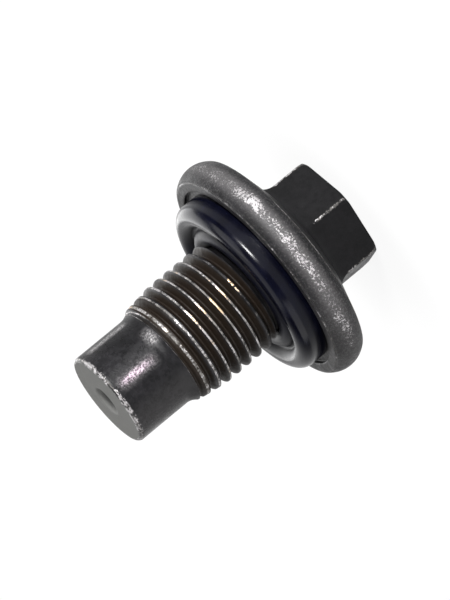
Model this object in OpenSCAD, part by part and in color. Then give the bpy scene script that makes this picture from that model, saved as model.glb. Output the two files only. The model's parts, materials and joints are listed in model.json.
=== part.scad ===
// Drain plug with a hexagon head, a thick round flange and a moulded sealing ring.
// It stands on the end of its head, with the threaded shank and the pilot pointing up (+Z).
// Lengths are in millimetres.

/* [Hexagon head] */
// Width across the flats
hex_af = 13; // [11:0.5:15]
// Height from the end face to the back edge of the flange
head_h = 8.1; // [6.5:0.1:16]
// How far the corners are cut back at the end face
corner_cut = 0.4; // [0.1:0.05:0.8]
// Height of the corner cut
corner_cut_h = 0.8; // [0.2:0.1:2]
// Radius of the flare from the flats and corners out to the flange
flare_r = 2.3; // [0.5:0.1:2.6]

/* [Flange] */
// Largest diameter of the rim
flange_d = 28.8; // [27.4:0.2:40]
// Thickness at the rim
flange_t = 4; // [2.5:0.1:6]
// How far the rounded rim bulges past its edges
rim_bulge = 0.8; // [0.4:0.1:1]
// Rise of the sloping back from the rim to the head
back_rise = 1.4; // [0.2:0.1:1.6]
// Small break on both edges of the rim
rim_break = 0.2; // [0.05:0.05:0.3]
// Width of the flat land between the rim's edge and the channel
land_w = 1.3; // [0.5:0.1:1.5]
// Depth of the channel in which the ring sits
channel_depth = 0.5; // [0.2:0.1:1.2]
// Room between the ring and the wall of the channel
channel_gap = 0.8; // [0.2:0.1:1]

/* [Neck and thread] */
// Major diameter of the thread
thread_d = 14; // [12:1:15]
// Pitch of the thread
pitch = 1.5; // [1:0.25:2]
// Length from the end of the neck to the end of the tapered lead
thread_l = 11.6; // [7:0.1:30]
// Length of the tapered lead
lead_l = 3.7; // [1:0.1:5]
// How far the lead tapers in, on the radius
lead_drop = 0.55; // [0.1:0.05:0.75]
// Length of the neck above the rim, up to the thread
neck_l = 2.3; // [1.5:0.1:5]
// How far the neck lies below the root of the thread, on the radius
neck_relief = 0.08; // [0.02:0.02:0.5]
// Height of the chamfer between the neck and the thread
neck_chamfer_h = 0.8; // [0.3:0.1:1.5]

/* [Pilot] */
// How far the pilot lies below the root of the thread, on the radius
pilot_relief = 0.23; // [0.05:0.01:1]
// Length from the end of the thread's lead to the tip
pilot_l = 8.4; // [4:0.1:20]
// Height of the hollow curve that leads from the pilot out to the thread
hollow_h = 1.4; // [0.8:0.1:2]
// Radius on the edge of the tip
tip_round = 0.45; // [0.1:0.05:1.5]
// Diameter of the centre dimple
dimple_d = 3.5; // [1.8:0.1:6]
// Depth of the centre dimple
dimple_depth = 0.85; // [0.2:0.05:0.9]

/* [Sealing ring] */
// Height that stands above the rim of the flange
ring_stand = 2.7; // [2.4:0.1:4]
// Radius of the round outer bead, seen in section
bead_r = 1.4; // [0.8:0.1:1.4]
// Radius of the inner lip, seen in section
lip_r = 1.2; // [0.6:0.1:1.3]
// How far the inner lip stays below the bead
lip_drop = 0.2; // [0.1:0.1:0.6]
// Height of the web between bead and lip, above the floor of the channel
web_h = 2.2; // [0.6:0.1:2.2]
// Room between the neck and the ring
bore_gap = 0.05; // [0.02:0.01:0.3]

/* [Hidden] */
// Facets of a turned surface
$fn = 96;
// Amount by which a cutting or joining shape reaches past a face
over = 1;
// Amount that two shapes share where they only just meet
weld = 0.01;

// Heights of the faces, from the end of the head upwards
z_flange = head_h;
z_back = z_flange - back_rise;
z_flare = z_back - flare_r;
z_rim = z_flange + flange_t;
z_floor = z_rim - channel_depth;
z_neck = z_rim + neck_l;
z_thread = z_neck + neck_chamfer_h;
z_lead = z_neck + thread_l - lead_l;
z_flank = z_neck + thread_l;
z_pilot = z_flank + hollow_h;
z_tip = z_flank + pilot_l;

// Hexagon: radius of its flats and of its corners
flat_r = hex_af / 2;
corner_r = flat_r / cos(30);

// Rim: radius of its edges, and of the arc between them in section
rim_edge_r = flange_d / 2 - rim_bulge;
rim_r = (flange_t * flange_t / 4 + rim_bulge * rim_bulge) / (2 * rim_bulge);
rim_break_h = 2 * rim_break;

// Metric thread form, as shares of the pitch
groove_share = 0.613;
root_flat_share = 1 / 8;
root_sag_share = 1 / 40;
flank_angle = 30;

// Radii of the thread, the neck and the pilot
major_r = thread_d / 2;
root_r = major_r - groove_share * pitch;
neck_r = root_r - neck_relief;
pilot_r = root_r - pilot_relief;
lead_r = major_r - lead_drop;

// Radius of the hollow curve, tangent to the pilot
hollow_step = lead_r - pilot_r;
hollow_r = (hollow_h * hollow_h + hollow_step * hollow_step) / (2 * hollow_step);

// Helix of the groove: how far it reaches past the crest, its sections in a turn and its ends
crest_pass = 0.08 * pitch;
turn_steps = 36;
z_helix = z_neck - pitch;
helix_steps = ceil((z_pilot + pitch - z_neck) / pitch * turn_steps);

// Sphere that presses the dimple
dimple_r = dimple_d / 2;
dimple_ball_r = (dimple_r * dimple_r + dimple_depth * dimple_depth) / (2 * dimple_depth);

// Channel, and the ring that sits in it
channel_r = rim_edge_r - land_w;
ring_r = channel_r - channel_gap;
ring_bore_r = neck_r + bore_gap;
z_ring_top = z_rim + ring_stand;
bead_x = ring_r - bead_r;
z_bead = z_ring_top - bead_r;
lip_x = ring_bore_r + lip_r;
z_lip = z_ring_top - lip_drop - lip_r;

// Rectangle in a section, from radius x0 to x1 and from height z0 to z1
module band(x0, x1, z0, z1) {
  translate([x0, z0]) square([x1 - x0, z1 - z0]);
}

// What the flare leaves free outside a wall at radius r
module flare_cut(r) {
  translate([r + flare_r, z_flare]) circle(r = flare_r);
  band(r, r + flare_r + over, -over, z_flare);
}

// Section through the corners: cut back at the end face, flared at the flange
module corner_section() {
  difference() {
    band(0, corner_r + flare_r, 0, z_back + over);
    flare_cut(corner_r);
    polygon([
      [corner_r - corner_cut, -over], [corner_r - corner_cut, 0],
      [corner_r, corner_cut_h], [corner_r + over, corner_cut_h], [corner_r + over, -over]
    ]);
  }
}

// Section across one pair of flats, flared at the flange
module flats_section() {
  difference() {
    band(-flat_r - flare_r, flat_r + flare_r, -over, z_back + over);
    flare_cut(flat_r);
    mirror([1, 0]) flare_cut(flat_r);
  }
}

// Hexagon with its corners on the X axis, whose flare follows flats and corners
module hexagon() {
  intersection() {
    rotate_extrude() corner_section();
    rotate([0, 0, 30]) rotate([90, 0, 0])
      linear_extrude(height = flange_d, center = true) flats_section();
    rotate([0, 0, 90]) rotate([90, 0, 0])
      linear_extrude(height = flange_d, center = true) flats_section();
    rotate([0, 0, 150]) rotate([90, 0, 0])
      linear_extrude(height = flange_d, center = true) flats_section();
  }
}

// Section of the flange: rounded rim, broken edges, channel and sloping back
module flange_section() {
  rim_x = flange_d / 2 - rim_r;
  z_mid = z_flange + flange_t / 2;
  difference() {
    intersection() {
      translate([rim_x, z_mid]) circle(r = rim_r);
      polygon([
        [rim_edge_r - over, z_flange], [rim_edge_r - rim_break, z_flange],
        [rim_edge_r + rim_break, z_flange + rim_break_h],
        [flange_d, z_mid],
        [rim_edge_r + rim_break, z_rim - rim_break_h],
        [rim_edge_r - rim_break, z_rim], [rim_edge_r - over, z_rim]
      ]);
    }
    band(0, channel_r, z_floor, z_rim + over);
  }
  difference() {
    band(0, rim_edge_r - rim_break, z_flange - weld, z_rim);
    band(-over, channel_r, z_floor, z_rim + over);
  }
  polygon([
    [0, z_back], [corner_r + flare_r, z_back],
    [rim_edge_r - rim_break, z_flange], [0, z_flange]
  ]);
}

// Section of the shank: neck, body of the thread with its tapered lead, hollow curve and pilot
module shank_section() {
  polygon([
    [0, z_floor - over], [neck_r, z_floor - over], [neck_r, z_neck],
    [major_r, z_thread], [major_r, z_lead], [lead_r, z_flank], [0, z_flank]
  ]);
  difference() {
    band(0, lead_r, z_flank - weld, z_pilot);
    translate([pilot_r + hollow_r, z_pilot]) circle(r = hollow_r);
  }
  band(0, pilot_r, z_flank, z_tip - tip_round);
  band(0, pilot_r - tip_round, z_flank, z_tip);
  translate([pilot_r - tip_round, z_tip - tip_round]) circle(r = tip_round);
}

// Groove of the thread, swept along a helix as one closed shape with triangular faces
module thread_groove() {
  root_half = root_flat_share * pitch / 2;
  reach = groove_share * pitch + crest_pass;
  half = root_half + reach * tan(flank_angle);
  root_side_r = root_r + root_sag_share * pitch;
  outline = [
    [root_r + reach, -half], [root_side_r, -root_half], [root_r, 0],
    [root_side_r, root_half], [root_r + reach, half]
  ];
  n = len(outline);
  points = [
    for (i = [0 : helix_steps], p = outline)
      let (a = 360 * i / turn_steps)
      [p[0] * cos(a), p[0] * sin(a), z_helix + pitch * i / turn_steps + p[1]]
  ];
  sides = [
    for (i = [0 : helix_steps - 1], k = [0 : n - 1], half_face = [0, 1])
      let (a = i * n + k, b = i * n + (k + 1) % n, c = a + n, d = b + n)
      half_face == 0 ? [a, d, b] : [a, c, d]
  ];
  first_cap = [for (k = [1 : n - 2]) [0, k, k + 1]];
  last = helix_steps * n;
  last_cap = [for (k = [1 : n - 2]) [last, last + k + 1, last + k]];
  polyhedron(points = points, faces = concat(sides, first_cap, last_cap), convexity = 12);
}

// Shank with its thread cut and the dimple pressed into the tip
module shank() {
  difference() {
    rotate_extrude() shank_section();
    thread_groove();
    translate([0, 0, z_tip + dimple_ball_r - dimple_depth]) sphere(r = dimple_ball_r);
  }
}

module drain_plug() {
  color([0.16, 0.16, 0.17]) {
    hexagon();
    rotate_extrude() flange_section();
    shank();
  }
}

// Ring: tall outer bead, low web and a smaller lip against the neck
module sealing_ring() {
  color([0.05, 0.06, 0.1])
  rotate_extrude()
  union() {
    translate([bead_x, z_bead]) circle(r = bead_r);
    band(bead_x - bead_r, ring_r, z_floor, z_bead);
    translate([lip_x, z_lip]) circle(r = lip_r);
    band(ring_bore_r, lip_x + lip_r, z_floor, z_lip);
    band(ring_bore_r, bead_x, z_floor, z_floor + web_h);
  }
}

drain_plug();
sealing_ring();
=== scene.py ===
"""Dresses the drain plug: the steel plug with its worn thread, the sealing ring, and a pale studio."""

import json
import math

import bmesh
import bpy
from mathutils import Matrix, Vector


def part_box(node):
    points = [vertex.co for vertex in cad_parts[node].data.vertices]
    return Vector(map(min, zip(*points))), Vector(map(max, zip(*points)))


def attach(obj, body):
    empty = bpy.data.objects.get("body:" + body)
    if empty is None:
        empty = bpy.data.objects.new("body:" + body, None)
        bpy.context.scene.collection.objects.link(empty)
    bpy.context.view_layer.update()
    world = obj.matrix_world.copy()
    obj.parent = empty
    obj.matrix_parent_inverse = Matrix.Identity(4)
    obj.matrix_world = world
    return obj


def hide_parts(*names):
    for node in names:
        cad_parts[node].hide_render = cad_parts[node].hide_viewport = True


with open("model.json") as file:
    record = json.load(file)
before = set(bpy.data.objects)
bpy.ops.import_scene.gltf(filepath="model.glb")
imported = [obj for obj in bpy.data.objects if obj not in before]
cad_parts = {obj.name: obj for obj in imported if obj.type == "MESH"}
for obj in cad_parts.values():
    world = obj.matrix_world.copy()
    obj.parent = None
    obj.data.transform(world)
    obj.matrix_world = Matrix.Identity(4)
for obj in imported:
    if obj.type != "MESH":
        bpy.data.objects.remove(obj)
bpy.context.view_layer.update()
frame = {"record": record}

bl_info = {
    "name": "Drain plug",
    "version": (1, 0, 0),
    "blender": (4, 5, 0),
    "location": "3D View > Sidebar > Drain plug",
    "description": "Builds a blackened drain plug with a worn thread, its sealing ring and a studio",
    "category": "Add Mesh",
}

MM = 0.001
MOUNTS = {mount["name"]: mount for mount in frame["record"]["mounts"]}
PLUG_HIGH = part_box("drain_plug")[1]
RING_LOW, RING_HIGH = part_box("sealing_ring")

# Heights that the frame gives, from the end of the head upwards
Z_TIP = PLUG_HIGH[2]
Z_RIM = MOUNTS["rim_seat"]["pos_m"][2]
Z_FLOOR = RING_LOW[2]
Z_NECK = MOUNTS["thread"]["pos_m"][2] - MOUNTS["thread"]["dims"]["length_mm"] / 2 * MM
Z_LEAD_END = MOUNTS["thread"]["pos_m"][2] + MOUNTS["thread"]["dims"]["length_mm"] / 2 * MM
Z_PILOT = MOUNTS["pilot"]["pos_m"][2] - MOUNTS["pilot"]["dims"]["length_mm"] / 2 * MM

# Radii that the frame gives
THREAD_R = MOUNTS["thread"]["dims"]["r_mm"] * MM
PILOT_R = MOUNTS["pilot"]["dims"]["r_mm"] * MM
RING_R = RING_HIGH[0]
FLANGE_R = PLUG_HIGH[0]

# The same places in millimetres, for the materials
RIM_MM, NECK_MM, LEAD_MM = Z_RIM / MM, Z_NECK / MM, Z_LEAD_END / MM
PILOT_MM, TIP_MM = Z_PILOT / MM, Z_TIP / MM
FLANGE_R_MM, PILOT_R_MM, RING_R_MM = FLANGE_R / MM, PILOT_R / MM, RING_R / MM

# Azimuths round the plug, in degrees: where the rim's worn flecks gather under a painted sheen, where
# painted glints, painted highlights and a painted reflection lie, where one side is painted lighter, and
# where the tip keeps fewer dents
FLECKS_AND_SHEEN_AT = -50
PAINTED_GLINTS_AT = -58
PAINTED_HIGHLIGHT_AT = -61
PAINTED_REFLECTION_AT = 3
PAINTED_HOLLOW_HIGHLIGHT_AT = -40
PAINTED_LIGHT_SIDE_AT = -125
UNDENTED_AT = 25

# Azimuths of the hexagon's near corner and of two lamps, and how far out these lamps stand
CORNER_AT = -60
LOW_LAMP_AT = -138
FAR_LAMP_AT = 85
LAMP_OUT = 0.45

# Metric thread form, as shares of the pitch, and the slope of its flanks
GROOVE_SHARE = 0.613
ROOT_FLAT_SHARE = 0.125
FLANK_ANGLE = math.radians(30)

# Faces: rows of the thread's surface in one pitch, and columns round the ring
PITCH_ROWS = 32
RING_COLUMNS = 192

# Softly rounded crests and roots of the thread
CREST_ROUND = 0.06 * MM
ROOT_ROUND = 0.12 * MM

# Points this close are merged: in the joined plug, and along the seam of shank and ring
MERGE_JOINED = 0.001 * MM
MERGE_SEAM = 0.002 * MM

# Edges bent by more than this stay sharp, and open rings are told apart in steps of 0.05 mm
SHARP_STEEL = math.radians(34)
SHARP_RUBBER = math.radians(50)
STEPS_PER_METRE = 20000

# The photograph's frame in pixels, and where the middle of the tip lies in it
PHOTO_W = 450
PHOTO_H = 600
TIP_PIXEL = (106.8, 401.2)
SENSOR_MM = 24


def length(name, text, value):
    """A size in metres that shows in the sidebar."""
    return bpy.props.FloatProperty(
        name=name, description=text, default=value, unit="LENGTH", precision=5
    )


def angle(name, text, degrees):
    """An angle that shows in the sidebar."""
    return bpy.props.FloatProperty(
        name=name, description=text, default=math.radians(degrees), subtype="ANGLE"
    )


def colour(name, text, value):
    """A colour that shows in the sidebar."""
    return bpy.props.FloatVectorProperty(
        name=name, description=text, default=value, subtype="COLOR", size=3, min=0, max=1
    )


class PlugSizes(bpy.types.PropertyGroup):
    """Sizes of the steel plug"""

    hex_af: length("Across flats", "Width of the hexagon across its flats", 13 * MM)
    corner_cut: length("Corner cut", "How far the corners are cut back", 0.4 * MM)
    corner_cut_h: length("Corner cut height", "Height of the corner cut", 0.8 * MM)
    flare_r: length("Flare radius", "Radius between the flats and the flange", 2.3 * MM)
    back_rise: length("Back rise", "Rise of the flange's sloping back", 1.4 * MM)
    flange_t: length("Flange thickness", "Thickness at the rim", 4 * MM)
    rim_r: length("Rim radius", "Radius of the rounded rim in section", 2.9 * MM)
    rim_break: length("Rim break", "Break on the edges of the rim", 0.2 * MM)
    channel_gap: length("Channel gap", "Room between ring and channel wall", 0.8 * MM)
    neck_r: length("Neck radius", "Radius of the neck under the ring", 6 * MM)
    neck_chamfer_h: length("Neck chamfer", "Height of the neck's chamfer", 0.8 * MM)
    pitch: length("Pitch", "Pitch of the thread", 1.5 * MM)
    lead_l: length("Lead length", "Length of the tapered lead", 3.7 * MM)
    lead_drop: length("Lead drop", "How far the lead tapers in", 0.55 * MM)
    tip_round: length("Tip round", "Radius on the edge of the tip", 0.45 * MM)
    dimple_r: length("Dimple radius", "Radius of the dimple's mouth", 1.75 * MM)
    dimple_depth: length("Dimple depth", "Depth of the dimple", 0.85 * MM)
    columns: bpy.props.IntProperty(
        name="Columns", description="Columns of faces round the plug", default=180, min=60
    )


class RingSizes(bpy.types.PropertyGroup):
    """Sizes of the sealing ring's section"""

    bead_r: length("Bead radius", "Radius of the outer bead", 1.4 * MM)
    lip_r: length("Lip radius", "Radius of the inner lip", 1.2 * MM)
    lip_drop: length("Lip drop", "How far the lip stays below the bead", 0.2 * MM)
    web_h: length("Web height", "Height of the web above the channel", 2.2 * MM)
    bore_gap: length("Bore gap", "Room between neck and ring", 0.05 * MM)


class FinishColours(bpy.types.PropertyGroup):
    """Colours of the steel and the rubber"""

    black_oxide: colour("Black oxide", "Blackened steel", (0.0025, 0.0025, 0.0028))
    oxide_light: colour("Rubbed oxide", "Oxide where it is rubbed thin", (0.011, 0.0105, 0.0118))
    groove_brown: colour("Groove", "Oily brown of the thread's grooves", (0.010, 0.0065, 0.004))
    worn_grey: colour("Worn grey", "Oxide worn thin on crests and edges", (0.120, 0.114, 0.108))
    # Bare steel on worn crests, edges and flecks, and the colour of the painted highlights and sheen
    bare_steel_and_highlight: colour("Bare steel", "Steel that has worn bright", (0.420, 0.405, 0.410))
    # Straw tint on worn crests, and the warm colour of the painted glints
    straw_and_glint_tint: colour("Warm steel", "Straw tint on the worn crests", (0.800, 0.500, 0.190))
    # Pale grit in the rim's oxide, and the paler colour of the side that is painted lighter
    grit_and_side_light: colour("Grit", "Pale grit in the oxide of the rim", (0.070, 0.067, 0.067))
    # Light grey of the end face, a painted reflection
    tip_reflection_grey: colour("Tip", "Grey of the end face", (0.104, 0.104, 0.100))
    # Pinkish colour of the painted highlight on the pilot
    painted_highlight_tint: colour("Burnished", "Rubbed streak on the pilot", (0.560, 0.440, 0.520))
    rubber: colour("Rubber", "Moulded rubber", (0.0011, 0.0012, 0.0034))
    rubber_cloud: colour("Rubber cloud", "Paler clouds in the rubber", (0.0022, 0.0026, 0.0076))
    rubber_dust: colour("Rubber dust", "Specks of dust on the rubber", (0.06, 0.06, 0.07))
    paper: colour("Paper", "Floor of the studio", (0.900, 0.900, 0.900))


class StudioSettings(bpy.types.PropertyGroup):
    """Camera and lamps"""

    tilt: angle("Tilt", "Angle by which the tip leans towards the camera", 14.0)
    slant: angle("Slant", "Angle of the plug's axis above the picture's horizontal", 39.5)
    corner_turn: angle("Corner turn", "How far the hexagon's near corner is turned away", 5.0)
    distance: length("Distance", "From the camera to the tip", 0.55)
    pixels_per_mm: bpy.props.FloatProperty(
        name="Pixels per mm", description="Scale of the picture at the tip", default=8.95
    )


VECTOR = "NodeSocketVector"
NUMBER = "NodeSocketFloat"


class NodeBuilder:
    """Adds nodes to a tree and links them, so that a material reads as a list of steps."""

    def __init__(self, tree):
        self.tree = tree

    def plug(self, socket, value):
        """Links a socket, or sets the input's own value."""
        if isinstance(value, bpy.types.NodeSocket):
            self.tree.links.new(value, socket)
        elif value is not None:
            socket.default_value = value

    def add(self, kind, inputs=None, **settings):
        """A node of that kind, with its settings and its inputs by name or number."""
        node = self.tree.nodes.new(kind)
        for name, value in settings.items():
            setattr(node, name, value)
        for name, value in (inputs or {}).items():
            self.plug(node.inputs[name], value)
        return node

    def math(self, operation, *values):
        """The result of a Math node."""
        node = self.add("ShaderNodeMath", operation=operation)
        for socket, value in zip(node.inputs, values):
            self.plug(socket, value)
        return node.outputs[0]

    def times(self, *values):
        """The product of several values."""
        product = values[0]
        for value in values[1:]:
            product = self.math("MULTIPLY", product, value)
        return product

    def larger(self, *values):
        """The largest of several values."""
        largest = values[0]
        for value in values[1:]:
            largest = self.math("MAXIMUM", largest, value)
        return largest

    def plus(self, first, second):
        """The sum of two values."""
        return self.math("ADD", first, second)

    def minus(self, first, second):
        """The first value less the second."""
        return self.math("SUBTRACT", first, second)

    def scaled(self, value, factor, added):
        """A value times a factor, with something added."""
        return self.math("MULTIPLY_ADD", value, factor, added)

    def distance(self, value, middle):
        """How far a value lies from a middle."""
        return self.math("ABSOLUTE", self.minus(value, middle))

    def dot(self, vector, direction):
        """How far a vector reaches along a direction."""
        node = self.add("ShaderNodeVectorMath", {0: vector, 1: direction}, operation="DOT_PRODUCT")
        return node.outputs["Value"]

    def ramp(self, value, low, high, to_low=0.0, to_high=1.0, smooth=True):
        """Maps a value from one range to another and holds it at the ends."""
        node = self.add(
            "ShaderNodeMapRange",
            {"Value": value, "From Min": low, "From Max": high, "To Min": to_low, "To Max": to_high},
            interpolation_type="SMOOTHSTEP" if smooth else "LINEAR",
            clamp=True,
        )
        return node.outputs["Result"]

    def between(self, value, start, full_from, full_to, end):
        """Rises to one, stays there for a stretch, and falls again."""
        return self.times(self.ramp(value, start, full_from), self.ramp(value, end, full_to))

    def mix(self, factor, first, second):
        """A mix of two colours."""
        node = self.add("ShaderNodeMix", data_type="RGBA", clamp_factor=True)
        self.plug(node.inputs["Factor"], factor)
        self.plug(node.inputs[6], first)
        self.plug(node.inputs[7], second)
        return node.outputs[2]

    def noise(self, vector, scale, detail=3.0, roughness=0.55):
        """The plain value of a noise."""
        node = self.add(
            "ShaderNodeTexNoise",
            {"Vector": vector, "Scale": scale, "Detail": detail, "Roughness": roughness},
        )
        return node.outputs["Fac"]


def rgba(values):
    """A colour with full opacity."""
    return (*values[:3], 1.0)


def new_group(name, kind, inputs, outputs):
    """A node group with named sockets, and its input and output nodes."""
    tree = bpy.data.node_groups.new(name, kind)
    for label, socket_type, default in inputs:
        socket = tree.interface.new_socket(name=label, in_out="INPUT", socket_type=socket_type)
        if default is not None:
            socket.default_value = default
    for label, socket_type in outputs:
        tree.interface.new_socket(name=label, in_out="OUTPUT", socket_type=socket_type)
    build = NodeBuilder(tree)
    start = build.add("NodeGroupInput")
    end = build.add("NodeGroupOutput")
    return tree, build, start, end


def group_node(build, tree, inputs):
    """A group placed in a material, with its own values."""
    return build.add("ShaderNodeGroup", inputs, node_tree=tree)


def position_group():
    """Radius, height and position of a point in millimetres, from Object coordinates."""
    tree, build, _, end = new_group(
        "Plug position",
        "ShaderNodeTree",
        [],
        [("Position", VECTOR), ("Radius", NUMBER), ("Height", NUMBER)],
    )
    place = build.add("ShaderNodeTexCoord").outputs["Object"]
    scaled = build.add(
        "ShaderNodeVectorMath", {0: place, "Scale": 1000.0}, operation="SCALE"
    ).outputs[0]
    parts = build.add("ShaderNodeSeparateXYZ", {"Vector": scaled})
    flat = build.add("ShaderNodeCombineXYZ", {"X": parts.outputs["X"], "Y": parts.outputs["Y"]})
    radius = build.add("ShaderNodeVectorMath", {0: flat.outputs[0]}, operation="LENGTH")
    build.plug(end.inputs["Position"], scaled)
    build.plug(end.inputs["Radius"], radius.outputs["Value"])
    build.plug(end.inputs["Height"], parts.outputs["Z"])
    return tree


def rubbed_group():
    """Bare metal where a wear value is high, broken up by two noises."""
    tree, build, start, end = new_group(
        "Rubbed edge",
        "ShaderNodeTree",
        [
            ("Position", VECTOR, None),
            ("Wear", NUMBER, 0.0),
            ("Amount", NUMBER, 0.5),
            ("Coarse scale", NUMBER, 0.5),
            ("Fine scale", NUMBER, 4.0),
        ],
        [("Mask", NUMBER)],
    )
    place = start.outputs["Position"]
    coarse = build.noise(place, start.outputs["Coarse scale"], 2.0)
    fine = build.noise(place, start.outputs["Fine scale"], 4.0, 0.7)
    broken = build.plus(build.times(coarse, 0.5), build.times(fine, 0.5))
    worn = build.times(start.outputs["Wear"], start.outputs["Amount"])
    value = build.scaled(build.minus(broken, 0.5), 1.6, worn)
    build.plug(end.inputs["Mask"], build.ramp(value, 0.44, 0.60))
    return tree


def grain_group():
    """Fine uneven grain: a height for bump and a value for colour and gloss."""
    tree, build, start, end = new_group(
        "Surface grain",
        "ShaderNodeTree",
        [
            ("Position", VECTOR, None),
            ("Scale", NUMBER, 3.0),
            ("Cloud scale", NUMBER, 0.35),
        ],
        [("Height", NUMBER), ("Cloud", NUMBER)],
    )
    place = start.outputs["Position"]
    fine = build.noise(place, start.outputs["Scale"], 5.0, 0.65)
    cloud = build.noise(place, start.outputs["Cloud scale"], 3.0, 0.5)
    build.plug(end.inputs["Height"], fine)
    build.plug(end.inputs["Cloud"], build.ramp(cloud, 0.3, 0.7))
    return tree


def speckle_group():
    """Small bright flecks that gather along a band."""
    tree, build, start, end = new_group(
        "Worn flecks",
        "ShaderNodeTree",
        [
            ("Position", VECTOR, None),
            ("Band", NUMBER, 0.0),
            ("Density", NUMBER, 0.5),
            ("Scale", NUMBER, 3.0),
        ],
        [("Mask", NUMBER)],
    )
    place = start.outputs["Position"]
    flecks = build.noise(place, start.outputs["Scale"], 4.0, 0.8)
    patches = build.noise(place, 0.30, 3.0)
    worn = build.times(start.outputs["Band"], start.outputs["Density"])
    spread = build.scaled(build.minus(patches, 0.5), 0.9, worn)
    value = build.scaled(build.minus(flecks, 0.5), 1.5, spread)
    build.plug(end.inputs["Mask"], build.ramp(value, 0.55, 0.65))
    return tree


def new_material(name):
    """A material with an empty tree, its builder and its output node."""
    material = bpy.data.materials.new(name)
    material.use_nodes = True
    material.node_tree.nodes.clear()
    build = NodeBuilder(material.node_tree)
    return material, build, build.add("ShaderNodeOutputMaterial")


def side_mask(build, place, azimuth, low, high):
    """High on the side of the plug that faces an azimuth in degrees, low on the far side."""
    turn = math.radians(azimuth)
    ahead = (math.cos(turn), math.sin(turn), 0)
    flat = build.add("ShaderNodeVectorMath", {0: place, 1: (1, 1, 0)}, operation="MULTIPLY").outputs[0]
    unit = build.add("ShaderNodeVectorMath", {0: flat}, operation="NORMALIZE").outputs[0]
    return build.ramp(build.dot(unit, ahead), low, high)


def streak_mask(build, place, azimuth, half_width):
    """A soft stripe along the plug at an azimuth in degrees."""
    turn = math.radians(azimuth)
    sideways = (-math.sin(turn), math.cos(turn), 0)
    near = build.ramp(build.math("ABSOLUTE", build.dot(place, sideways)), half_width, 0.0)
    return build.times(near, side_mask(build, place, azimuth, 0.0, 0.3))


def rim_wear(build, groups, place, radius, height):
    """The rounded rim, the band in its middle, and on that band the bright worn flecks and a painted
    sheen, both heavier on the side where light falls.
    """
    on_rim = build.ramp(radius, FLANGE_R_MM - 0.85, FLANGE_R_MM - 0.5)
    band = build.times(build.ramp(build.distance(height, RIM_MM - 1.9), 1.6, 0.2), on_rim)
    # Painted highlight: more flecks and a brighter sheen on the side where the light falls
    flecks_and_sheen_side = side_mask(build, place, FLECKS_AND_SHEEN_AT, 0.15, 0.95)
    density = build.scaled(flecks_and_sheen_side, 0.19, 0.36)
    flecks = group_node(
        build, groups["speckle"], {"Position": place, "Band": band, "Density": density, "Scale": 4.5}
    )
    # Painted sheen: bare metal colour along the band, standing in for a highlight
    sheen = build.times(band, build.scaled(flecks_and_sheen_side, 0.12, 0.015))
    return on_rim, band, build.larger(flecks.outputs["Mask"], sheen)


def painted_pilot_highlights(build, place, height):
    """Painted highlights on the pilot: the strongest stripe alone, and all of them together, with a
    painted reflection and a painted patch of light on the shoulder, broken into sparkle.
    """
    on_wall = build.between(height, LEAD_MM + 1.6, LEAD_MM + 3.0, TIP_MM - 1.7, TIP_MM - 0.3)
    halo = build.times(streak_mask(build, place, PAINTED_HIGHLIGHT_AT, 1.25), on_wall)
    near_core = build.ramp(build.distance(height, TIP_MM - 3.3), 2.7, 0.3)
    core = build.times(streak_mask(build, place, PAINTED_HIGHLIGHT_AT, 0.7), near_core)
    painted_highlight = build.scaled(core, 0.8, build.times(halo, 0.5))
    far_wall = build.between(height, LEAD_MM + 1.4, LEAD_MM + 2.2, TIP_MM - 1.9, TIP_MM - 0.9)
    painted_reflection = build.times(streak_mask(build, place, PAINTED_REFLECTION_AT, 0.8), far_wall)
    on_shoulder = build.between(height, LEAD_MM + 0.2, LEAD_MM + 0.9, LEAD_MM + 1.2, LEAD_MM + 2.2)
    cloud = build.times(streak_mask(build, place, PAINTED_HOLLOW_HIGHLIGHT_AT, 1.6), on_shoulder)
    streaks = build.larger(painted_highlight, build.times(cloud, 0.7), build.times(painted_reflection, 0.8))
    sparkle = build.ramp(build.noise(place, 4.5, 3.0, 0.8), 0.42, 0.64)
    return painted_highlight, build.times(streaks, build.scaled(sparkle, 0.65, 0.10))


def tip_dents(build, place, radius, height, nicks):
    """Small bright dents along the edge of the tip."""
    edge = build.times(
        build.ramp(height, TIP_MM - 0.75, TIP_MM - 0.25),
        build.ramp(radius, PILOT_R_MM - 0.62, PILOT_R_MM - 0.32),
    )
    dented = build.scaled(build.noise(place, 0.45, 2.0), 1.3, build.times(nicks, 2.2))
    dents = build.times(build.ramp(dented, 0.74, 0.90), build.ramp(edge, 0.3, 0.8))
    kept_side = side_mask(build, place, UNDENTED_AT, 0.6, 0.95)
    return build.times(dents, build.scaled(kept_side, -0.7, 0.85))


def end_face(build, radius, height, nicks):
    """The end face with its chipped edge, painted light grey as a painted reflection, and the dimple in
    it, where that grey fades towards the bottom as painted shade.
    """
    edge_r = PILOT_R_MM - 0.30
    chipped = build.scaled(nicks, 3.0, radius)
    face = build.times(
        build.ramp(height, TIP_MM - 0.10, TIP_MM - 0.02),
        build.ramp(chipped, edge_r + 0.12, edge_r - 0.12),
    )
    in_dimple = build.times(
        build.ramp(radius, 2.7, 2.3),
        build.ramp(height, TIP_MM - 0.9, TIP_MM - 0.1, 0.06, 0.95),
    )
    return build.larger(face, in_dimple)


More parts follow.
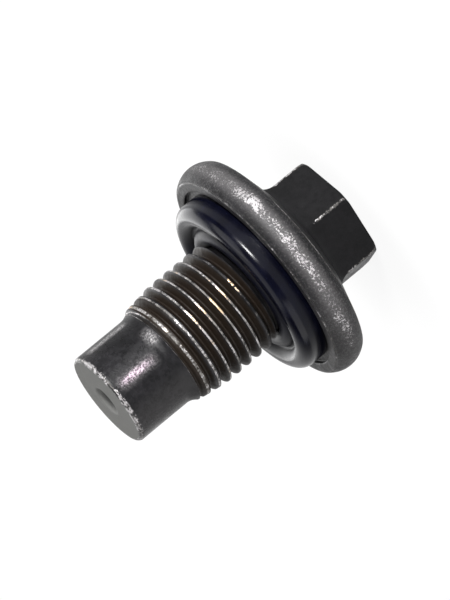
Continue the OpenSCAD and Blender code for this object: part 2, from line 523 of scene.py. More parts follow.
def steel_material(colours, groups):
    """Blackened steel: matte oxide, brown grooves, bright bare metal where it is worn, painted
    highlights, glints and sheen, a painted reflection on the end face, and one side painted paler.
    """
    material, build, output = new_material("worn_black_steel")
    where = group_node(build, groups["position"], {})
    place, radius, height = (where.outputs[name] for name in ("Position", "Radius", "Height"))
    wear = build.add("ShaderNodeAttribute", attribute_name="wear").outputs["Fac"]
    groove = build.add("ShaderNodeAttribute", attribute_name="groove").outputs["Fac"]
    grain = group_node(build, groups["grain"], {"Position": place, "Scale": 3.2, "Cloud scale": 0.3})
    nicks = build.minus(build.noise(place, 2.2, 5.0, 0.75), 0.5)

    on_rim, band, rim_bright = rim_wear(build, groups, place, radius, height)
    # Painted glints: where light strikes the crests, they get more bare metal and a warmer tint
    mid_thread = build.between(height, NECK_MM + 0.2, NECK_MM + 1.6, LEAD_MM - 4.0, LEAD_MM - 2.0)
    glints = build.times(streak_mask(build, place, PAINTED_GLINTS_AT, 1.9), mid_thread)
    rubbed = group_node(
        build,
        groups["rubbed"],
        {
            "Position": place,
            "Wear": wear,
            "Amount": build.scaled(glints, 0.16, 0.47),
            "Coarse scale": 0.6,
            "Fine scale": 4.0,
        },
    )
    # Painted highlights and a painted reflection on the pilot, drawn as bright metal
    painted_highlight, all_painted_highlights = painted_pilot_highlights(build, place, height)
    dents = tip_dents(build, place, radius, height, nicks)
    # Bright metal: worn flecks, rubbed edges and dents, together with the painted sheen, glints and
    # highlights
    bright = build.larger(rim_bright, rubbed.outputs["Mask"], dents, all_painted_highlights)

    mottle = build.ramp(build.noise(place, 1.4, 5.0, 0.7), 0.34, 0.66)
    patchy = build.scaled(mottle, 0.5, build.times(grain.outputs["Cloud"], 0.5))
    patchy = build.times(patchy, build.ramp(height, RIM_MM - 6.3, RIM_MM - 5.3, 0.35, 1.0))
    oxide = build.mix(patchy, rgba(colours.black_oxide), rgba(colours.oxide_light))
    # Painted light: above the head, one side of the plug is painted paler, as if light from below falls
    # on it
    off_head = build.ramp(height, RIM_MM - 6.3, RIM_MM - 4.3, 0.0, 0.18)
    painted_light_side = build.times(side_mask(build, place, PAINTED_LIGHT_SIDE_AT, 0.75, 1.0), off_head)
    oxide = build.mix(painted_light_side, oxide, rgba(colours.grit_and_side_light))
    # Pale grit in the rim's oxide, with more of it along the band of painted sheen
    gritty = build.ramp(build.noise(place, 4.0, 4.0, 0.8), 0.50, 0.66)
    rim_tone = build.ramp(radius, FLANGE_R_MM - 2.2, FLANGE_R_MM - 1.0, 0.0, 0.4)
    rim_tone = build.times(build.scaled(band, 0.40, rim_tone), gritty)
    oxide = build.mix(rim_tone, oxide, rgba(colours.grit_and_side_light))
    on_face = end_face(build, radius, height, nicks)
    # Painted reflection on the end face, fading to painted shade towards the dimple's bottom
    oxide = build.mix(on_face, oxide, rgba(colours.tip_reflection_grey))
    oxide = build.mix(build.times(groove, 0.9), oxide, rgba(colours.groove_brown))
    thin = build.ramp(build.scaled(nicks, 2.4, wear), 0.70, 1.20)
    oxide = build.mix(thin, oxide, rgba(colours.worn_grey))

    # Straw tint at random on bare crests, warmer still on the painted glints
    straw_and_glints = build.ramp(build.noise(place, 0.33, 2.0), 0.56, 0.66)
    straw_and_glints = build.scaled(straw_and_glints, 0.35, build.times(glints, 0.5))
    in_thread = build.math("COMPARE", height, (NECK_MM + LEAD_MM) / 2, 6.0)
    bare = build.mix(build.times(in_thread, straw_and_glints), rgba(colours.bare_steel_and_highlight), rgba(colours.straw_and_glint_tint))
    # Painted highlight: the strongest stripe on the pilot takes a pinkish tint
    bare = build.mix(build.times(painted_highlight, 0.85), bare, rgba(colours.painted_highlight_tint))

    rough = build.scaled(grain.outputs["Cloud"], -0.10, 0.50)
    on_pilot = build.ramp(height, PILOT_MM - 0.6, PILOT_MM + 0.4)
    rough = build.scaled(on_pilot, -0.16, rough)
    rough = build.scaled(build.minus(mottle, 0.5), 0.16, rough)
    rough = build.scaled(groove, 0.12, rough)
    rough = build.ramp(on_face, 0.0, 1.0, rough, 0.82, False)
    rough = build.ramp(bright, 0.0, 1.0, rough, 0.46, False)
    bump_height = build.scaled(bright, 0.35, grain.outputs["Height"])
    bump_height = build.scaled(gritty, build.times(on_rim, 1.1), bump_height)
    bump = build.add(
        "ShaderNodeBump", {"Strength": 0.5, "Distance": 0.07 * MM, "Height": bump_height}
    )
    shader = build.add(
        "ShaderNodeBsdfPrincipled",
        {
            "Base Color": build.mix(bright, oxide, bare),
            "Roughness": rough,
            "Metallic": bright,
            "Specular IOR Level": 0.12,
            "Normal": bump.outputs["Normal"],
        },
    )
    build.plug(output.inputs["Surface"], shader.outputs[0])
    return material


def rubber_material(colours, groups):
    """Glossy moulded rubber, nearly black with a cold tint, slightly uneven."""
    material, build, output = new_material("moulded_rubber")
    where = group_node(build, groups["position"], {})
    place = where.outputs["Position"]
    grain = group_node(build, groups["grain"], {"Position": place, "Scale": 1.8, "Cloud scale": 0.5})
    cloud = grain.outputs["Cloud"]
    dusty = build.ramp(build.noise(place, 6.0, 4.0, 0.7), 0.66, 0.80)
    tone = build.mix(build.times(cloud, 0.5), rgba(colours.rubber), rgba(colours.rubber_cloud))
    tone = build.mix(build.times(dusty, 0.25), tone, rgba(colours.rubber_dust))
    rough = build.scaled(cloud, 0.06, 0.19)
    rough = build.scaled(dusty, 0.2, rough)
    inner = build.ramp(where.outputs["Radius"], RING_R_MM - 1.6, RING_R_MM - 2.6)
    rough = build.scaled(inner, 0.24, rough)
    bump = build.add(
        "ShaderNodeBump",
        {"Strength": 0.15, "Distance": 0.05 * MM, "Height": grain.outputs["Height"]},
    )
    shader = build.add(
        "ShaderNodeBsdfPrincipled",
        {
            "Base Color": tone,
            "Roughness": rough,
            "Specular IOR Level": 0.15,
            "Normal": bump.outputs["Normal"],
        },
    )
    build.plug(output.inputs["Surface"], shader.outputs[0])
    return material


def paper_material(colours):
    """Pale floor: white to the camera and in reflections, and it keeps the plug's shadow."""
    material, build, output = new_material("studio_paper")
    rays = build.add("ShaderNodeLightPath").outputs
    seen = build.larger(rays["Is Camera Ray"], rays["Is Glossy Ray"], rays["Is Transmission Ray"])
    diffuse = build.add("ShaderNodeBsdfDiffuse", {"Color": rgba(colours.paper)})
    glow = build.add("ShaderNodeEmission", {"Color": (1, 1, 1, 1), "Strength": 1.0})
    mixed = build.add(
        "ShaderNodeMixShader", {0: build.times(seen, 0.89), 1: diffuse.outputs[0], 2: glow.outputs[0]}
    )
    build.plug(output.inputs["Surface"], mixed.outputs[0])
    return material


def finish_library():
    """The two finishes by name, made once with the groups that they share."""
    colours = bpy.context.scene.plug_colours
    if "worn_black_steel" not in bpy.data.materials:
        groups = {
            "position": position_group(),
            "rubbed": rubbed_group(),
            "grain": grain_group(),
            "speckle": speckle_group(),
        }
        steel_material(colours, groups)
        rubber_material(colours, groups)
    return bpy.data.materials


def arc(centre, radius, start, end, steps):
    """Points (radius, height) along an arc of a section, with angles in degrees."""
    angles = [math.radians(start + (end - start) * i / steps) for i in range(steps + 1)]
    return [(centre[0] + radius * math.cos(a), centre[1] + radius * math.sin(a)) for a in angles]


def line(first, last, steps):
    """Points (radius, height) along a straight stretch of a section, both ends included."""
    return [
        (first[0] + (last[0] - first[0]) * i / steps, first[1] + (last[1] - first[1]) * i / steps)
        for i in range(steps + 1)
    ]


def turned_mesh(name, rows, angles, pole_first=False, pole_last=False):
    """A turned surface. Each row is its radius at an angle, its height, and its wear at an angle."""
    verts = []
    wear = []
    faces = []
    n = len(angles)
    for radius_at, z, worn in rows:
        for a in angles:
            r = radius_at(a)
            verts.append((r * math.cos(a), r * math.sin(a), z))
            wear.append(worn(a))
    for i in range(len(rows) - 1):
        for k in range(n):
            a, b = i * n + k, i * n + (k + 1) % n
            faces.append((a, b, b + n, a + n))
    for wanted, row in ((pole_first, 0), (pole_last, len(rows) - 1)):
        if wanted:
            centre = len(verts)
            verts.append((0, 0, rows[row][1]))
            wear.append(0.0)
            faces += [(centre, row * n + (k + 1) % n, row * n + k) for k in range(n)]
    mesh = bpy.data.meshes.new(name)
    mesh.from_pydata(verts, [], faces)
    layer = mesh.attributes.new("wear", "FLOAT", "POINT")
    layer.data.foreach_set("value", wear)
    return mesh


def plain_rows(points, worn=0.0):
    """Rows of a round section, all with one wear value."""
    return [(lambda a, r=r: r, z, lambda a: worn) for r, z in points]


def even_angles(columns):
    """Angles round a piece, all the same step apart."""
    return [2 * math.pi * k / columns for k in range(columns)]


def hexagon_angles(columns):
    """Angles round the plug, closer together at the hexagon's corners."""
    half = columns // 12
    steps = [30 * (i / half) ** 1.8 for i in range(half + 1)]
    sector = steps[:-1] + [60 - s for s in reversed(steps[1:])]
    return [math.radians(60 * k + s) for k in range(6) for s in sector]


def soft_min(first, second, soft):
    """The smaller of two lengths, with a rounded change from one to the other."""
    gap = (first - second) / soft
    if abs(gap) > 30:
        return min(first, second)
    return min(first, second) - soft * math.log1p(math.exp(-abs(gap)))


def head_rows(sizes):
    """Rows of the head: end face, cut corners, flats and the flare that follows them."""
    apothem = sizes.hex_af / 2
    corner = apothem / math.cos(math.radians(30))
    z_back = Z_RIM - sizes.flange_t - sizes.back_rise
    z_flare = z_back - sizes.flare_r
    soft = 0.06 * MM

    def bell(z):
        """How far the flare stands out at a height."""
        rise = min(max(z - z_flare, 0.0), sizes.flare_r)
        return sizes.flare_r - math.sqrt(sizes.flare_r**2 - rise**2)

    def outline(a, z):
        """Radius of the hexagon with its flare, its cut corners and a small rounding."""
        off_flat = math.radians((math.degrees(a) % 60) - 30)
        flat = (apothem + bell(z)) / math.cos(off_flat)
        cone = corner - sizes.corner_cut * max(0.0, 1 - z / sizes.corner_cut_h) + bell(z)
        return soft_min(flat, cone - 0.4 * soft, soft)

    def corner_wear(a):
        """Wear on the edges between the flats."""
        off_corner = abs((math.degrees(a) + 30) % 60 - 30)
        return min(0.92, max(0.0, 1.2 - off_corner / 2.8))

    rows = []
    for share in (0.2, 0.5, 0.8, 0.93):
        rows.append((lambda a, s=share: s * outline(a, 0), 0.0, lambda a: 0.0))
    for inset, z, worn in ((0.10, 0.0, 0.2), (0.03, 0.03, 0.45), (0.0, 0.10, 0.2)):
        rows.append((lambda a, i=inset, z=z: outline(a, z * MM) - i * MM, z * MM, lambda a, w=worn: w))
    cut_rows = 8
    for i in range(1, cut_rows + 1):
        z = 0.1 * MM + (sizes.corner_cut_h + 0.2 * MM) * i / cut_rows
        rows.append((lambda a, z=z: outline(a, z), z, corner_wear))
    start = 0.3 * MM + sizes.corner_cut_h
    for share in (0.12, 0.3, 0.5, 0.7, 0.9):
        z = start + (z_flare - start) * share
        rows.append((lambda a, z=z: outline(a, z), z, corner_wear))
    flare_rows = 30
    for i in range(flare_rows + 1):
        turn = math.radians(90 * i / flare_rows)
        z = z_flare + sizes.flare_r * math.sin(turn)
        fade = max(0.0, 1 - i / flare_rows * 2.2)
        rows.append((lambda a, z=z: outline(a, z), z, lambda a, f=fade: f * corner_wear(a)))
    return rows


def flange_rows(sizes):
    """Rows of the flange: sloping back, broken edges, rounded rim, front face and channel."""
    half = sizes.flange_t / 2
    z_mid = Z_RIM - half
    rim_x = FLANGE_R - sizes.rim_r
    edge = rim_x + math.sqrt(sizes.rim_r**2 - half**2)
    z_back = Z_RIM - sizes.flange_t
    start = (edge - 0.6 * sizes.rim_break, z_back + 0.02 * MM)
    corner = sizes.hex_af / 2 / math.cos(math.radians(30))
    foot = (corner + sizes.flare_r, z_back - sizes.back_rise)
    swing = math.degrees(math.asin(half / sizes.rim_r)) - 3.5
    channel = RING_R + sizes.channel_gap
    nick = 0.06 * MM
    rows = plain_rows(line((foot[0] + 0.02 * MM, foot[1] + 0.01 * MM), start, 8))
    for inset, rise, worn in ((0.16, 0.05, 1.1), (0.06, 0.12, 1.3)):
        rows += plain_rows([(edge - inset * MM, z_back + rise * MM)], worn)
    rim = arc((rim_x, z_mid), sizes.rim_r, -swing, swing, 30)
    rows += plain_rows(rim[:1], 1.0)
    rows += plain_rows(rim[1:], 0.0)
    for inset, drop, worn in ((0.02, 0.12, 0.6), (0.10, 0.03, 0.85), (0.20, 0.0, 0.3)):
        rows += plain_rows([(edge - inset * MM, Z_RIM - drop * MM)], worn)
    rows += plain_rows(line((edge - 0.35 * MM, Z_RIM), (channel + 0.12 * MM, Z_RIM), 3), 0.15)
    rows += plain_rows([(channel + nick, Z_RIM - 0.01 * MM), (channel, Z_RIM - nick)], 0.5)
    rows += plain_rows(line((channel, Z_RIM - 2 * nick), (channel, Z_FLOOR + nick), 2))
    rows += plain_rows(line((channel - nick, Z_FLOOR), (sizes.neck_r + nick, Z_FLOOR), 4))
    rows += plain_rows(line((sizes.neck_r, Z_FLOOR + nick), (sizes.neck_r, Z_FLOOR + 0.7 * MM), 2))
    return rows


def pilot_rows(sizes, z_start):
    """Rows of the pilot: plain wall, rounded edge, end face and the soft dimple."""
    rounding = sizes.tip_round
    centre = (PILOT_R - rounding, Z_TIP - rounding)
    ball = (sizes.dimple_r**2 + sizes.dimple_depth**2) / (2 * sizes.dimple_depth)
    bottom = (0.0, Z_TIP + ball - sizes.dimple_depth)
    rows = plain_rows(line((PILOT_R, z_start), (PILOT_R, Z_TIP - rounding - 0.1 * MM), 10))
    rounded = arc(centre, rounding, 0, 90, 10)
    edge_wear = (0.3, 0.6, 0.9, 1.0, 1.0, 0.8, 0.35, 0.1, 0.0, 0.0, 0.0)
    for point, worn in zip(rounded, edge_wear):
        rows += plain_rows([point], worn)
    rows += plain_rows(line((centre[0] - 0.15 * MM, Z_TIP), (sizes.dimple_r * 1.35, Z_TIP), 6))
    dish_steps = 24
    for i in range(1, dish_steps):
        x = sizes.dimple_r * 1.3 * (1 - i / dish_steps)
        floor = bottom[1] - math.sqrt(ball**2 - x**2)
        rows += plain_rows([(x, soft_min(Z_TIP + 0.02 * MM, floor, 0.10 * MM))])
    return rows


def thread_wear(build, get, z, off_root, groove_r, blank, radius):
    """Wear on the crests and on the lead's last edge, and how deep a point lies in the groove."""
    lead_end = get["Lead end"]
    over_blank = build.minus(groove_r, blank)
    on_land = build.ramp(over_blank, -0.06 * MM, 0.02 * MM)
    off_middle = build.minus(build.times(get["Pitch"], 0.5), off_root)
    sunk = build.minus(get["Major radius"], blank)
    strip = build.ramp(off_middle, 0.20 * MM, 0.10 * MM)
    wide_strip = build.ramp(off_middle, 0.27 * MM, 0.14 * MM)
    wide_strip = build.times(wide_strip, build.ramp(sunk, 0.24 * MM, 0.40 * MM))
    crest = build.times(on_land, build.larger(strip, wide_strip))
    past = build.plus(lead_end, 0.15 * MM)
    before_end = build.ramp(z, past, build.minus(lead_end, 0.15 * MM))
    after_end = build.ramp(z, build.minus(lead_end, 0.30 * MM), lead_end)
    groove_edge = build.ramp(build.math("ABSOLUTE", over_blank), 0.10 * MM, 0.04 * MM)
    crest = build.larger(build.times(crest, before_end), build.times(groove_edge, after_end))
    first_turns = build.plus(get["Thread start"], 2.8 * MM)
    past_neck = build.ramp(z, get["Thread start"], first_turns, 0.45, 1.0)
    on_thread = build.ramp(z, get["Pilot start"], build.minus(get["Pilot start"], 0.5 * MM))
    depth = build.ramp(build.minus(blank, radius), 0.02 * MM, 0.35 * MM)
    on_lead = build.times(
        build.ramp(sunk, 0.24 * MM, 0.36 * MM),
        build.math("LESS_THAN", z, lead_end),
        build.math("GREATER_THAN", z, get["Lead start"]),
    )
    return build.times(crest, past_neck, on_thread), build.larger(depth, on_lead)


def stored(build, geometry, name, value):
    """The geometry with a named value on its points."""
    node = build.add(
        "GeometryNodeStoreNamedAttribute",
        {"Geometry": geometry, "Name": name, "Value": value},
        data_type="FLOAT",
        domain="POINT",
    )
    return node.outputs[0]


def thread_tree(lengths):
    """Geometry nodes that bend a flat grid into a threaded shank with a tapered lead."""
    tree, build, start, end = new_group(
        "Threaded shank",
        "GeometryNodeTree",
        [("Columns", "NodeSocketInt", 180), ("Rows", "NodeSocketInt", 330)]
        + [(label, NUMBER, value) for label, value in lengths.items()]
        + [("Material", "NodeSocketMaterial", None)],
        [("Mesh", "NodeSocketGeometry")],
    )
    get = start.outputs
    pitch = get["Pitch"]
    grid_h = build.times(get["Rows"], build.math("DIVIDE", pitch, float(PITCH_ROWS)))
    grid = build.add(
        "GeometryNodeMeshGrid",
        {
            "Size X": 1.0,
            "Size Y": grid_h,
            "Vertices X": build.plus(get["Columns"], 1.0),
            "Vertices Y": build.plus(get["Rows"], 1.0),
        },
    )
    place = build.add("ShaderNodeSeparateXYZ", {0: build.add("GeometryNodeInputPosition").outputs[0]})
    turn = build.plus(place.outputs["X"], 0.5)
    along = build.plus(place.outputs["Y"], build.times(grid_h, 0.5))
    risen = build.scaled(turn, pitch, along)
    free_z = build.plus(risen, build.minus(get["Start height"], pitch))
    z = build.math("MINIMUM", build.larger(free_z, get["Start height"]), get["End height"])

    phase_start = build.minus(get["Start height"], get["Helix height"])
    turns = build.math("DIVIDE", build.plus(along, phase_start), pitch)
    off_root = build.times(build.math("PINGPONG", turns, 0.5), pitch)
    flank = build.minus(off_root, get["Root half width"])
    slope = build.math("DIVIDE", flank, math.tan(FLANK_ANGLE))
    rounded_root = build.math("SMOOTH_MAX", slope, 0.0, ROOT_ROUND)
    groove_r = build.plus(get["Root radius"], rounded_root)

    major, lead_r = get["Major radius"], get["Lead radius"]
    neck = build.ramp(z, get["Neck end"], get["Thread start"], get["Neck radius"], major, False)
    lead = build.ramp(z, get["Lead start"], get["Lead end"], major, lead_r, False)
    arc_share = build.ramp(z, get["Lead end"], get["Pilot start"], 1.0, 0.0, False)
    hollow = build.minus(1.0, build.times(arc_share, arc_share))
    sunk = build.times(build.minus(lead_r, get["Pilot radius"]), hollow)
    blank = build.math("MINIMUM", neck, build.minus(lead, sunk))
    radius = build.math("SMOOTH_MIN", groove_r, blank, CREST_ROUND)

    angle = build.times(turn, 2 * math.pi)
    target = build.add(
        "ShaderNodeCombineXYZ",
        {
            "X": build.times(radius, build.math("COSINE", angle)),
            "Y": build.times(radius, build.math("SINE", angle)),
            "Z": z,
        },
    )
    wear, groove = thread_wear(build, get, z, off_root, groove_r, blank, radius)
    marked = stored(build, grid.outputs["Mesh"], "wear", wear)
    marked = stored(build, marked, "groove", groove)
    moved = build.add("GeometryNodeSetPosition", {"Geometry": marked, "Position": target.outputs[0]})
    merged = build.add(
        "GeometryNodeMergeByDistance", {"Geometry": moved.outputs[0], "Distance": MERGE_SEAM}
    )
    real = build.add("GeometryNodeRealizeInstances", {"Geometry": merged.outputs[0]})
    coloured = build.add(
        "GeometryNodeSetMaterial", {"Geometry": real.outputs[0], "Material": get["Material"]}
    )
    build.plug(end.inputs["Mesh"], coloured.outputs[0])
    return tree


def apply_tree(name, tree, values):
    """Runs a geometry tree on an empty mesh and returns the result as a plain mesh."""
    holder = bpy.data.objects.new(name + "_tree", bpy.data.meshes.new(name + "_tree"))
    bpy.context.scene.collection.objects.link(holder)
    modifier = holder.modifiers.new("tree", "NODES")
    modifier.node_group = tree
    for item in tree.interface.items_tree:
        if item.in_out == "INPUT" and item.name in values:
            modifier[item.identifier] = values[item.name]
    evaluated = holder.evaluated_get(bpy.context.evaluated_depsgraph_get())
    mesh = bpy.data.meshes.new_from_object(evaluated)
    mesh.name = name
    bpy.data.objects.remove(holder)
    return mesh


def link_object(name, mesh):
    """A new object for a mesh, in the scene."""
    made = bpy.data.objects.new(name, mesh)
    bpy.context.scene.collection.objects.link(made)
    return made


def joined(name, meshes):
    """One object out of several meshes, with their attributes."""
    parts = [link_object(name + str(i), mesh) for i, mesh in enumerate(meshes)]
    bpy.ops.object.select_all(action="DESELECT")
    for part in parts:
        part.select_set(True)
    bpy.context.view_layer.objects.active = parts[0]
    bpy.ops.object.join()
    whole = parts[0]
    whole.name = name
    whole.data.name = name
    return whole


def close_shell(piece, merge, sharp_angle):
    """Merges doubles, bridges the open rings in pairs, turns the faces outwards and shades them."""
    shell = bmesh.new()
    shell.from_mesh(piece.data)
    bmesh.ops.remove_doubles(shell, verts=shell.verts, dist=merge)
    rings = {}
    for edge in [edge for edge in shell.edges if edge.is_boundary]:
        rings.setdefault(round(edge.verts[0].co.z * STEPS_PER_METRE), []).append(edge)
    heights = sorted(rings)
    for low, high in zip(heights[0::2], heights[1::2]):
        bmesh.ops.bridge_loops(shell, edges=rings[low] + rings[high])
    bmesh.ops.recalc_face_normals(shell, faces=shell.faces)
    shell.to_mesh(piece.data)
    shell.free()
    piece.data.shade_smooth()
    piece.data.set_sharp_from_angle(angle=sharp_angle)


class PLUG_OT_steel(bpy.types.Operator):
    """Builds the steel plug: head, flange, thread and pilot as one surface"""

    bl_idname = "plug.steel"
    bl_label = "Steel plug"

    def execute(self, context):
        sizes = context.scene.plug_sizes
        steel = finish_library()["worn_black_steel"]
        columns = sizes.columns
        z_helix = Z_NECK - sizes.pitch
        z_start = z_helix + sizes.pitch / 2
        z_end = Z_PILOT + 0.1 * MM
        lengths = {
            "Pitch": sizes.pitch,
            "Major radius": THREAD_R,
            "Root radius": THREAD_R - GROOVE_SHARE * sizes.pitch,
            "Root half width": ROOT_FLAT_SHARE * sizes.pitch / 2,
            "Neck radius": sizes.neck_r,
            "Pilot radius": PILOT_R,
            "Lead radius": THREAD_R - sizes.lead_drop,
            "Helix height": z_helix,
            "Start height": z_start,
            "End height": z_end,
            "Neck end": Z_NECK,
            "Thread start": Z_NECK + sizes.neck_chamfer_h,
            "Lead start": Z_LEAD_END - sizes.lead_l,
            "Lead end": Z_LEAD_END,
            "Pilot start": Z_PILOT,
        }
        rows = math.ceil((z_end - z_start) / sizes.pitch * PITCH_ROWS) + PITCH_ROWS
        values = {**lengths, "Columns": columns, "Rows": rows, "Material": steel}
        shank = apply_tree("shank", thread_tree(lengths), values)
        rows_of_head = head_rows(sizes) + flange_rows(sizes)
        head = turned_mesh("head", rows_of_head, hexagon_angles(columns), pole_first=True)
        pilot = turned_mesh("pilot", pilot_rows(sizes, z_end), even_angles(columns), pole_last=True)
        for mesh in (head, pilot):
            mesh.materials.append(steel)
        plug = joined("steel_plug", [shank, head, pilot])
        close_shell(plug, MERGE_JOINED, SHARP_STEEL)
        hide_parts("drain_plug")
        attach(plug, "root")
        return {"FINISHED"}


class PLUG_OT_ring(bpy.types.Operator):
    """Builds the moulded ring: outer bead, web and inner lip"""

    bl_idname = "plug.ring"
    bl_label = "Sealing ring"

    def execute(self, context):
        sizes = context.scene.ring_sizes
        rubber = finish_library()["moulded_rubber"]
        bore = context.scene.plug_sizes.neck_r + sizes.bore_gap
        top = RING_HIGH[2]
        bead = (RING_R - sizes.bead_r, top - sizes.bead_r)
        lip = (bore + sizes.lip_r, top - sizes.lip_drop - sizes.lip_r)
        z_web = Z_FLOOR + sizes.web_h
        soft = 0.12 * MM
        lip_turn = math.degrees(math.asin(min(1, (z_web + soft - lip[1]) / sizes.lip_r)))
        bead_turn = math.degrees(math.asin(min(1, (z_web + soft - bead[1]) / sizes.bead_r)))
        lip_end = arc(lip, sizes.lip_r, 180, lip_turn, 22)[1:]
        bead_arc = arc(bead, sizes.bead_r, 180 - bead_turn, 0, 32)
        section = line((bore, Z_FLOOR + soft), (bore, lip[1]), 4) + lip_end
        if bead_arc[0][0] > lip_end[-1][0]:
            low, high = lip_end[-1][0], bead_arc[0][0]
            section += [(low + (high - low) * t, z_web) for t in (0.25, 0.5, 0.75)]
        section += bead_arc
        section += line((RING_R, bead[1] - soft), (RING_R, Z_FLOOR + soft), 5)
        section += line((RING_R - soft, Z_FLOOR), (bore + soft, Z_FLOOR), 5)
        section.append(section[0])
        mesh = turned_mesh("ring", plain_rows(section), even_angles(RING_COLUMNS))
        mesh.materials.append(rubber)
        ring = link_object("rubber_ring", mesh)
        close_shell(ring, MERGE_SEAM, SHARP_RUBBER)
        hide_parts("sealing_ring")
        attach(ring, "root")
        return {"FINISHED"}


def round_plug(azimuth, out, height):
    """The point at an azimuth in degrees, so far out from the plug's axis and so high."""
    turn = math.radians(azimuth)
    return Vector((out * math.cos(turn), out * math.sin(turn), height))


def camera_axes(studio):
    """The camera's rotation, which shows the upright plug slanted as the studio's angles say."""
    tilt, slant, turn = studio.tilt, studio.slant, studio.corner_turn
    away = Vector((math.cos(tilt) * math.cos(slant), math.cos(tilt) * math.sin(slant), -math.sin(tilt)))
    near = (Vector((0, 0, 1)) - away.z * away).normalized()
    side = away.cross(near)
    corner = near * math.cos(turn) - side * math.sin(turn)
    world_corner = round_plug(CORNER_AT, 1.0, 0.0)
    world_away = Vector((0, 0, -1))
    seen = Matrix((corner, away, corner.cross(away))).transposed()
    world = Matrix((world_corner, world_away, world_corner.cross(world_away))).transposed()
    return world @ seen.inverted()


def area_lamp(name, place, target, size, energy, tint=(1, 1, 1), long=1.0, along=None):
    """A soft lamp that faces a point; it can be longer in one direction."""
    data = bpy.data.lights.new(name, "AREA")
    data.shape = "RECTANGLE"
    data.size = size * long
    data.size_y = size
    data.energy = energy
    data.color = tint
    lamp = bpy.data.objects.new(name, data)
    back = (Vector(place) - Vector(target)).normalized()
    side = Vector(along or (1, 0, 0))
    side = (side - side.dot(back) * back).normalized()
    turned = Matrix((side, back.cross(side), back)).transposed()
    lamp.matrix_world = Matrix.Translation(place) @ turned.to_4x4()
    bpy.context.scene.collection.objects.link(lamp)
    return lamp


def studio_world(away):
    """White to the camera; in gloss a room that is bright behind the plug and dim in front."""
    world = bpy.data.worlds.new("studio")
    world.use_nodes = True
    world.node_tree.nodes.clear()
    build = NodeBuilder(world.node_tree)
    output = build.add("ShaderNodeOutputWorld")
    rays = build.add("ShaderNodeLightPath").outputs
    place = build.add("ShaderNodeTexCoord").outputs["Generated"]
    level = build.ramp(build.dot(place, tuple(away)), 0.0, 0.95, 0.03, 1.0)
    in_gloss = build.larger(rays["Is Glossy Ray"], rays["Is Transmission Ray"])
    soft = build.times(level, 0.45)
    shown = build.add("ShaderNodeMix", {0: in_gloss, 2: soft, 3: level}, data_type="FLOAT")
    strength = build.larger(shown.outputs[0], rays["Is Camera Ray"])
    back = build.add("ShaderNodeBackground", {"Color": (1, 1, 1, 1), "Strength": strength})
    build.plug(output.inputs["Surface"], back.outputs[0])
    bpy.context.scene.world = world


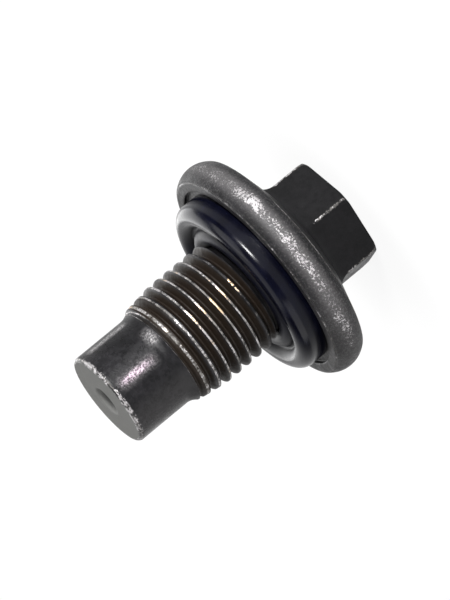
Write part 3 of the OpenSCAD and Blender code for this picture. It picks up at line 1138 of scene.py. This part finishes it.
class PLUG_OT_studio(bpy.types.Operator):
    """Sets up the floor, the backdrop, the lamps and the camera"""

    bl_idname = "plug.studio"
    bl_label = "Studio"

    def execute(self, context):
        scene = context.scene
        studio = scene.plug_studio
        paper = paper_material(scene.plug_colours)
        half = 1.5
        level = -0.02 * MM
        signs = ((-1, -1), (1, -1), (1, 1), (-1, 1))
        floor_mesh = bpy.data.meshes.new("floor")
        floor_mesh.from_pydata([(half * x, half * y, level) for x, y in signs], [], [(0, 1, 2, 3)])
        floor_mesh.materials.append(paper)
        floor = link_object("floor", floor_mesh)

        turned = camera_axes(studio)
        focal_px = studio.pixels_per_mm * studio.distance / MM
        offset_x = (TIP_PIXEL[0] - PHOTO_W / 2) / studio.pixels_per_mm * MM
        offset_y = -(TIP_PIXEL[1] - PHOTO_H / 2) / studio.pixels_per_mm * MM
        tip_seen = Vector((offset_x, offset_y, -studio.distance))
        data = bpy.data.cameras.new("camera")
        data.sensor_fit = "VERTICAL"
        data.sensor_height = SENSOR_MM
        data.lens = focal_px / PHOTO_H * SENSOR_MM
        data.clip_start = 0.01
        data.clip_end = 10
        camera = bpy.data.objects.new("camera", data)
        place = Vector((0, 0, Z_TIP)) - turned @ tip_seen
        camera.matrix_world = Matrix.Translation(place) @ turned.to_4x4()
        scene.collection.objects.link(camera)
        scene.camera = camera

        centre = Vector((0, 0, Z_RIM))
        seen = turned.transposed()
        picture_right, picture_up, toward = seen[0], seen[1], seen[2]
        across = picture_up * 0.777 - picture_right * 0.629
        key_place = centre + 0.42 * toward + 0.205 * picture_up - 0.125 * picture_right
        area_lamp("key", key_place, centre, 0.07, 5.2, long=2.2, along=across)
        area_lamp("top", (0, 0, 0.55), centre, 0.5, 1.5)
        area_lamp("sky", centre + 0.30 * toward + 0.45 * picture_up, centre, 0.5, 0.3, (0.92, 0.96, 1.0))
        area_lamp("left", centre - 0.45 * picture_right + 0.15 * toward, centre, 0.35, 1.3)
        area_lamp("low", round_plug(LOW_LAMP_AT, LAMP_OUT, 0.16), centre, 0.5, 1.9)
        area_lamp("far", round_plug(FAR_LAMP_AT, LAMP_OUT, 0.20), centre, 0.42, 1.6)
        studio_world(-toward)
        scene.view_settings.view_transform = "Standard"
        return {"FINISHED"}


class PLUG_PT_panel(bpy.types.Panel):
    """Lists the steps and the sizes"""

    bl_label = "Drain plug"
    bl_idname = "PLUG_PT_panel"
    bl_space_type = "VIEW_3D"
    bl_region_type = "UI"
    bl_category = "Drain plug"

    def draw(self, context):
        layout = self.layout
        for step in STEPS:
            layout.operator(step.bl_idname)
        for group in ("plug_sizes", "ring_sizes", "plug_colours", "plug_studio"):
            settings = getattr(context.scene, group)
            box = layout.box()
            for name in settings.__annotations__:
                box.prop(settings, name)


STEPS = (PLUG_OT_steel, PLUG_OT_ring, PLUG_OT_studio)
SETTINGS = {
    "plug_sizes": PlugSizes,
    "ring_sizes": RingSizes,
    "plug_colours": FinishColours,
    "plug_studio": StudioSettings,
}
CLASSES = (*SETTINGS.values(), *STEPS, PLUG_PT_panel)


def register():
    """Registers the classes and hangs the settings on the scene."""
    for item in CLASSES:
        bpy.utils.register_class(item)
    for name, kind in SETTINGS.items():
        setattr(bpy.types.Scene, name, bpy.props.PointerProperty(type=kind))


def unregister():
    """Takes the settings and the classes away again."""
    for name in SETTINGS:
        delattr(bpy.types.Scene, name)
    for item in reversed(CLASSES):
        bpy.utils.unregister_class(item)


def main():
    """Builds every piece and the studio."""
    register()
    bpy.ops.plug.steel()
    bpy.ops.plug.ring()
    bpy.ops.plug.studio()


if __name__ == "__main__":
    main()
